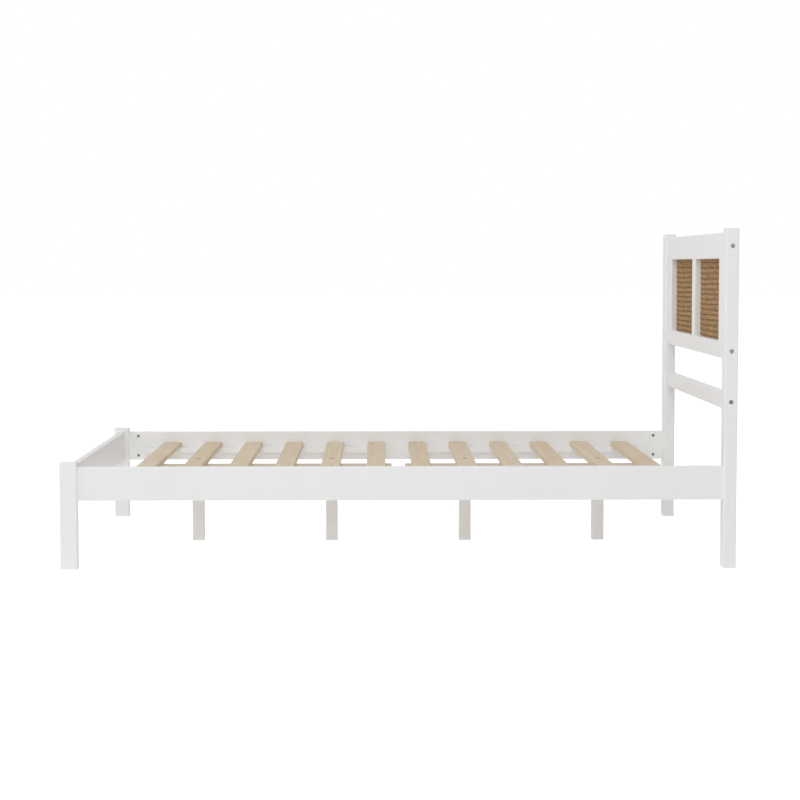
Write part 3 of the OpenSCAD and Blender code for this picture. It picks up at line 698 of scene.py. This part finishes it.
def route(distance, half):
    """Offset from the panel's middle after that much rope, half being panel_frame's half distance."""
    bend = math.pi * turn_radius
    turn, along = divmod(distance, 4 * half + 2 * bend)
    fall = turn * row_pitch
    if along < half:
        share = along / half
        drop = back_fall / 2 * share - eased(turn, 0) * share
        return Vector((turn_radius, -along, -fall - drop))
    along -= half
    if along < bend:
        angle = along / turn_radius
        return Vector((turn_radius * math.cos(angle), -half - turn_radius * math.sin(angle),
                       -fall - back_fall / 2 + eased(turn, 0)))
    along -= bend
    if along < 2 * half:
        share = along / (2 * half)
        drop = back_fall / 2 + FRONT_FALL * share - eased(turn, share)
        return Vector((-turn_radius, half * (2 * share - 1), -fall - drop))
    along -= 2 * half
    if along < bend:
        angle = along / turn_radius
        return Vector((-turn_radius * math.cos(angle), half + turn_radius * math.sin(angle),
                       -fall - back_fall / 2 - FRONT_FALL + eased(turn, 1)))
    share = (along - bend) / half
    drop = back_fall / 2 * (1 + share) + FRONT_FALL - eased(turn, 1) * (1 - share)
    return Vector((turn_radius, half * (1 - share), -fall - drop))


print("rows", round(row_pitch * 1000, 2), "mm apart")

# %% [markdown]
# ## The rope panels: cords
#
# A cord is three strands laid round each other. Modelling the strands one by one would take three times the
# faces, and the sides that touch would never be seen. So one section with three lobes is swept along
# the route, and each point of the curve is tilted further than the one before, which winds the lobes into a
# lay. A curve does this with a bevel object and a tilt, and its conversion to a mesh also lays a UV
# map along the cord, which the fibres follow later. Blender cuts a tilt off at sixty turns, so whole turns
# are left out of it.
#
# Cords that are wound tight leave no daylight between them. The lobes are fatter than the cord's share of
# the row, a whole number of strands goes into each turn, so that the lobes of one row lie in the grooves
# of the next, and the cord is flattened from front to back. The cords also lean out in threes, each less
# than the one below it, and that step, with shade painted into the rope's colour there, makes the dark line
# between the rows. Hand-wound rope is never quite even, so the rows sway by a fraction of a millimetre,
# from a seeded sum of slow waves. The lay drifts too, but only a little: lobes that fell out of step with
# their neighbours would let light through.

# %% Cords
LAY = 0.018
LOBES = 3
LOBE_RADII = (0.66, 0.88, 1.0, 0.88)
NEST = 1.24
PRESSED = 0.86
ROW_SWAY = 0.00012
CORD_SWAY = 0.00005
LAY_DRIFT = 0.08
ROW_PROUD = 0.0022
RAIL_GAP = 0.0002
SIDE_SEEDS = {"near": 0, "far": 5}
cord_width = row_pitch / ROW_CORDS


def waves(seed, count=6):
    """A smooth random curve of distance, between about -1 and 1."""
    dice = random.Random(seed)
    parts = [(dice.uniform(9, 60), dice.uniform(0, math.tau), dice.uniform(0.4, 1)) for _ in range(count)]
    total = sum(part[2] for part in parts)
    return lambda distance: sum(a * math.sin(f * distance + p) for f, p, a in parts) * 1.6 / total


def front_share(offset):
    """1 on the front of the panel and 0 on its back, with a smooth change round the bars."""
    share = min(max(-offset / turn_radius, 0.0), 1.0)
    return share * share * (3 - 2 * share)


def lobed_section():
    """The outline of a three-strand cord, as a closed curve.

    It starts in a groove, which hides the seam.
    """
    curve = bpy.data.curves.new("cord_section", "CURVE")
    spline = curve.splines.new("POLY")
    count = LOBES * len(LOBE_RADII)
    spline.points.add(count - 1)
    for index, point in enumerate(spline.points):
        angle = math.tau * index / count
        radius = LOBE_RADII[index % len(LOBE_RADII)] * NEST * cord_width / 2
        point.co = (radius * math.cos(angle), radius * math.sin(angle), 0, 1)
    spline.use_cyclic_u = True
    section = bpy.data.objects.new("cord_section", curve)
    bpy.context.scene.collection.objects.link(section)
    return section


def wound_cord(name, node, row, seed, section):
    """One cord of a panel: row is -1, 0 or 1 for the lower, middle and upper cord of each row."""
    middle, half = panel_frame(node)
    turn_length = 4 * half + 2 * math.pi * turn_radius
    start = BLOCK / 2
    stop = TURNS * turn_length - BLOCK / 2
    count = round((stop - start) / STEP)
    strands_a_turn = round(LOBES * turn_length / LAY)
    lay = LOBES * turn_length / strands_a_turn
    slot = row % ROW_CORDS  # 0 stands out most: the middle cord, then the upper one, then the lower one
    row_sway = waves(node)
    cord_sway = waves(seed)
    drift = waves(seed + 1)

    curve = bpy.data.curves.new(name, "CURVE")
    curve.dimensions = "3D"
    curve.twist_mode = "Z_UP"
    curve.bevel_mode = "OBJECT"
    curve.bevel_object = section
    curve.use_fill_caps = True
    spline = curve.splines.new("POLY")
    spline.points.add(count)
    for index, point in enumerate(spline.points):
        distance = start + (stop - start) * index / count
        place = middle + route(distance, half)
        sway = ROW_SWAY * row_sway(distance) + CORD_SWAY * cord_sway(distance)
        proud = ROW_PROUD * (1 - slot / (ROW_CORDS - 1)) * front_share(place.x - middle.x)
        full = fullness(distance // turn_length, 0.5 + (place.y - middle.y) / (2 * half))
        point.co = (place.x - proud, place.y, place.z + row * cord_width * full + sway, 1)
        point.radius = full
        point.tilt = (math.tau * distance / lay + LAY_DRIFT * drift(distance)) % math.tau
    cord = bpy.data.objects.new(name, curve)
    bpy.context.scene.collection.objects.link(cord)
    bpy.context.view_layer.update()
    mesh = bpy.data.meshes.new_from_object(cord.evaluated_get(bpy.context.evaluated_depsgraph_get()))
    press(mesh, slot, [point.co.xyz for point in spline.points])
    bpy.data.objects.remove(cord)
    return close_tube(name, mesh), stop - start


def press(mesh, slot, centres):
    """Flattens the cord front to back and against the rails, and stores each vertex's level in its row.

    The level is 0 over one deep groove and 1 under the next.
    """
    ring = LOBES * len(LOBE_RADII)
    level = mesh.attributes.new("groove_level", "FLOAT", "POINT")
    for index, vertex in enumerate(mesh.vertices):
        centre = centres[min(index // ring, len(centres) - 1)]
        level.data[index].value = (slot + 0.5 + (vertex.co.z - centre.z) / cord_width) / ROW_CORDS
        vertex.co.x = min(centre.x + (vertex.co.x - centre.x) * PRESSED, cad_high.x)
        vertex.co.z = min(max(vertex.co.z, opening_bottom + RAIL_GAP), opening_top - RAIL_GAP)


def close_tube(name, mesh):
    """A mesh object with its caps welded on and its faces outwards."""
    bm = bmesh.new()
    bm.from_mesh(mesh)
    bmesh.ops.remove_doubles(bm, verts=bm.verts, dist=1e-6)
    bmesh.ops.recalc_face_normals(bm, faces=bm.faces)
    bm.to_mesh(mesh)
    bm.free()
    mesh.name = name
    made = bpy.data.objects.new(name, mesh)
    bpy.context.scene.collection.objects.link(made)
    return made


section = lobed_section()
cords = []
for side in SIDE_SEEDS:
    for row in (1, 0, -1):
        number = 2 - row
        name = "rope_" + side + "_cord_" + str(number)
        seed = 10 * number + SIDE_SEEDS[side]
        cord, cord_length = wound_cord(name, "rope_" + side, row, seed, section)
        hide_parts("rope_" + side)
        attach(cord, "root")
        cords.append(cord)
        print(name, round(cord_length, 2), "m,", len(cord.data.polygons), "faces")
bpy.data.objects.remove(section)

# %% [markdown]
# ## The rope panels: fibre
#
# The cord is a golden-brown plant fibre. Its colour lies in the fibres themselves: each is a shade lighter
# or darker than the next, and they run along the strand at a slant to its lay. The UV map has U along the
# cord and V round it, so a noise that is stretched along the first and sheared by the second draws them.
# Shade is painted into the colour in the grooves between the strands, where the section's outline comes
# nearest to the middle, at each third of V, and in the deeper groove between the rows, which the vertices'
# own level gives.
# No two stretches of a cord took the light or the dust alike, so a slow noise darkens some of them. It
# changes fast from cord to cord and slowly along them.

# %% Rope material
FIBRE_LIGHT = linear(218, 181, 138)
FIBRE_MID = linear(182, 145, 102)
FIBRE_DARK = linear(108, 79, 50)
# Painted shade in the rope's colour: in the groove between the rows, and in the grooves between the
# strands.
PAINTED_ROW_SHADE = 0.43
ROW_SHADE_OVER = (0.62, 1.07)
ROW_SHADE_UNDER = (0.33, 0.15)
PAINTED_STRAND_SHADE = (0.28, 0.5)
STRETCH_SHADE = 0.42
STRETCHES_PER_METRE = Vector((60, 18, 190))
ROPE_FIBRES_ALONG = 90.0
ROPE_FIBRES_ACROSS = 2600.0
ROPE_FIBRE_SLANT = 0.35
ROPE_FIBRE_DEPTH = 0.00025


def make_rope(cord_length):
    """The fibre of every cord, all of that length in metres."""
    material, tree, shader = new_material("rope_fibre")
    uv = add(tree, "ShaderNodeTexCoord").outputs["UV"]
    split = add(tree, "ShaderNodeSeparateXYZ", {0: uv}).outputs
    place = add(tree, "ShaderNodeTexCoord").outputs["Object"]
    along = calc(tree, "MULTIPLY", split[0], cord_length)
    around = calc(tree, "MULTIPLY", split[1], math.pi * CORD)
    slanted = calc(tree, "MULTIPLY_ADD", along, ROPE_FIBRE_SLANT, around)
    fibres = add(tree, "ShaderNodeCombineXYZ",
                 {0: calc(tree, "MULTIPLY", along, ROPE_FIBRES_ALONG),
                  1: calc(tree, "MULTIPLY", slanted, ROPE_FIBRES_ACROSS)}).outputs[0]
    strands = add(tree, "ShaderNodeTexNoise", {"Vector": fibres, "Scale": 1.0, "Detail": 3.0,
                                               "Roughness": 0.6}).outputs["Fac"]
    lots = add(tree, "ShaderNodeTexNoise", {"Vector": stretched(tree, place, STRETCHES_PER_METRE),
                                            "Scale": 1.0, "Detail": 1.0}).outputs["Fac"]

    # Painted shade: the colour is darkened in the grooves between the strands.
    lobe = calc(tree, "FRACT", calc(tree, "MULTIPLY", split[1], float(LOBES)))
    off_top = calc(tree, "ABSOLUTE", calc(tree, "SUBTRACT", lobe, 0.5))
    groove = remap(tree, off_top, *PAINTED_STRAND_SHADE, 0, 1)

    tone = blend(tree, remap(tree, strands, 0.3, 0.7, 0, 1), FIBRE_MID, FIBRE_LIGHT)
    tone = blend(tree, remap(tree, strands, 0.42, 0.25, 0, 0.8), tone, FIBRE_DARK)
    tone = blend(tree, remap(tree, lots, 0.35, 0.7, 0, STRETCH_SHADE), tone, FIBRE_DARK)
    tone = blend(tree, calc(tree, "MULTIPLY", groove, 0.5), tone, FIBRE_DARK)

    # Painted shade: the colour is darkened below the cord that stands out most, and on that cord's own
    # underside.
    level = add(tree, "ShaderNodeAttribute", attribute_name="groove_level").outputs["Fac"]
    under = calc(tree, "MAXIMUM", remap(tree, level, *ROW_SHADE_OVER, 0, 1),
                 remap(tree, level, *ROW_SHADE_UNDER, 0, 1))
    tone = blend(tree, calc(tree, "MULTIPLY", under, PAINTED_ROW_SHADE), tone, FIBRE_DARK)
    tree.links.new(tone, shader.inputs["Base Color"])
    tree.links.new(calc(tree, "MULTIPLY_ADD", strands, -0.25, 0.92), shader.inputs["Roughness"])
    shader.inputs["Specular IOR Level"].default_value = 0.2
    shader.inputs["Sheen Weight"].default_value = 0.05
    shader.inputs["Sheen Roughness"].default_value = 0.5
    bumps(tree, shader, (strands, ROPE_FIBRE_DEPTH))
    return material


rope = make_rope(cord_length)
for cord in cords:
    cord.data.materials.clear()
    cord.data.materials.append(rope)
